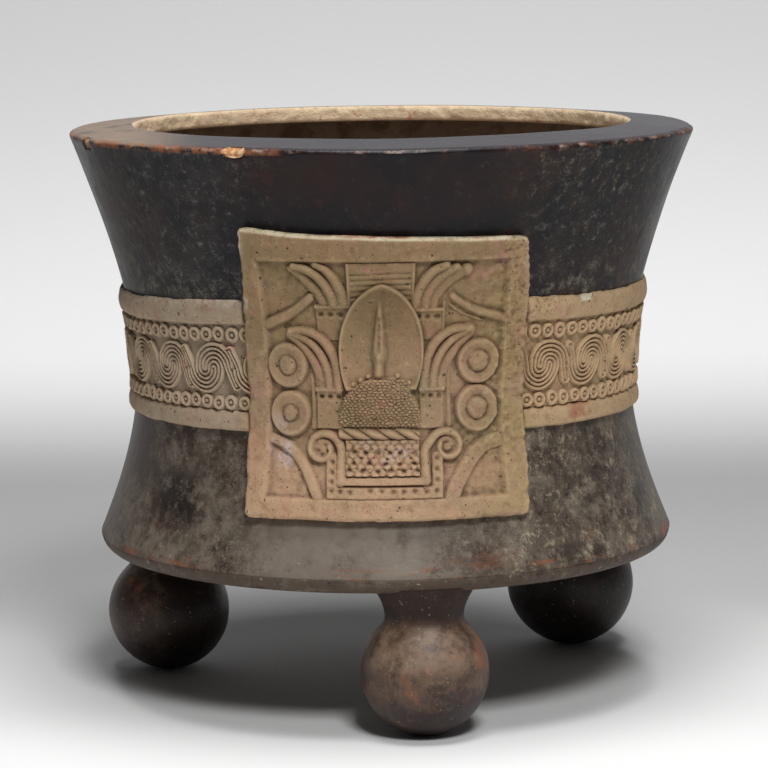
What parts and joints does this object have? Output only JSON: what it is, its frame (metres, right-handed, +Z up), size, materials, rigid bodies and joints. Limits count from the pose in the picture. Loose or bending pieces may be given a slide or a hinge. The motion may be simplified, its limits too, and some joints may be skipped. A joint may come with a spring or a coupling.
{
  "type": "tripod incense burner",
  "caption": "Waisted fired-clay bowl with a flat inward rim, standing on hollow ball feet, with raised moulded panels and a relief band round its waist.",
  "frame": {"origin": "on the bowl's axis, at the level of the surface that the three feet stand on", "axes": "+Z up along the bowl's axis, -Y towards the viewer of the front panel, +X to that viewer's right"},
  "size_m": [0.28, 0.28, 0.2557],
  "materials": {
    "burnished_slip": "burnished dark brown slip on fired clay, half glossy, mottled and worn at the edges",
    "worn_slip": "rubbed grey-brown slip on fired clay, nearly matt",
    "foot_slip": "burnished brown slip on fired clay with orange-brown rubbed spots",
    "bare_clay": "unslipped tan fired clay, matt and slightly granular"
  },
  "bodies": {
    "root": {"vessel_wall": "burnished_slip", "rim_ring": "burnished_slip", "floor_slab": "worn_slip", "foot_ball_front": "foot_slip", "foot_ball_right": "foot_slip", "foot_ball_left": "foot_slip", "foot_neck_front": "foot_slip", "foot_neck_right": "foot_slip", "foot_neck_left": "foot_slip", "lower_fillet_right": "bare_clay", "lower_fillet_left": "bare_clay", "upper_fillet_right": "bare_clay", "upper_fillet_left": "bare_clay", "band_strip_right": "bare_clay", "band_strip_left": "bare_clay", "lower_pellet_row_right": "bare_clay", "lower_pellet_row_left": "bare_clay", "upper_pellet_row_right": "bare_clay", "upper_pellet_row_left": "bare_clay", "scroll_row_right": "bare_clay", "scroll_row_left": "bare_clay", "panel_slab_front": "bare_clay", "blade_front": "bare_clay", "dome_front": "bare_clay", "rope_front": "bare_clay", "bead_block_front": "bare_clay", "scroll_bowl_front": "bare_clay", "top_bars_front": "bare_clay", "lower_crest_right_front": "bare_clay", "upper_crest_right_front": "bare_clay", "lower_arc_right_front": "bare_clay", "upper_arc_right_front": "bare_clay", "lower_disc_right_front": "bare_clay", "upper_disc_right_front": "bare_clay", "lower_crest_left_front": "bare_clay", "upper_crest_left_front": "bare_clay", "lower_arc_left_front": "bare_clay", "upper_arc_left_front": "bare_clay", "lower_disc_left_front": "bare_clay", "upper_disc_left_front": "bare_clay", "panel_slab_back": "bare_clay", "blade_back": "bare_clay", "dome_back": "bare_clay", "rope_back": "bare_clay", "bead_block_back": "bare_clay", "scroll_bowl_back": "bare_clay", "top_bars_back": "bare_clay", "lower_crest_right_back": "bare_clay", "upper_crest_right_back": "bare_clay", "lower_arc_right_back": "bare_clay", "upper_arc_right_back": "bare_clay", "lower_disc_right_back": "bare_clay", "upper_disc_right_back": "bare_clay", "lower_crest_left_back": "bare_clay", "upper_crest_left_back": "bare_clay", "lower_arc_left_back": "bare_clay", "upper_arc_left_back": "bare_clay", "lower_disc_left_back": "bare_clay", "upper_disc_left_back": "bare_clay"}
  },
  "joints": []
}
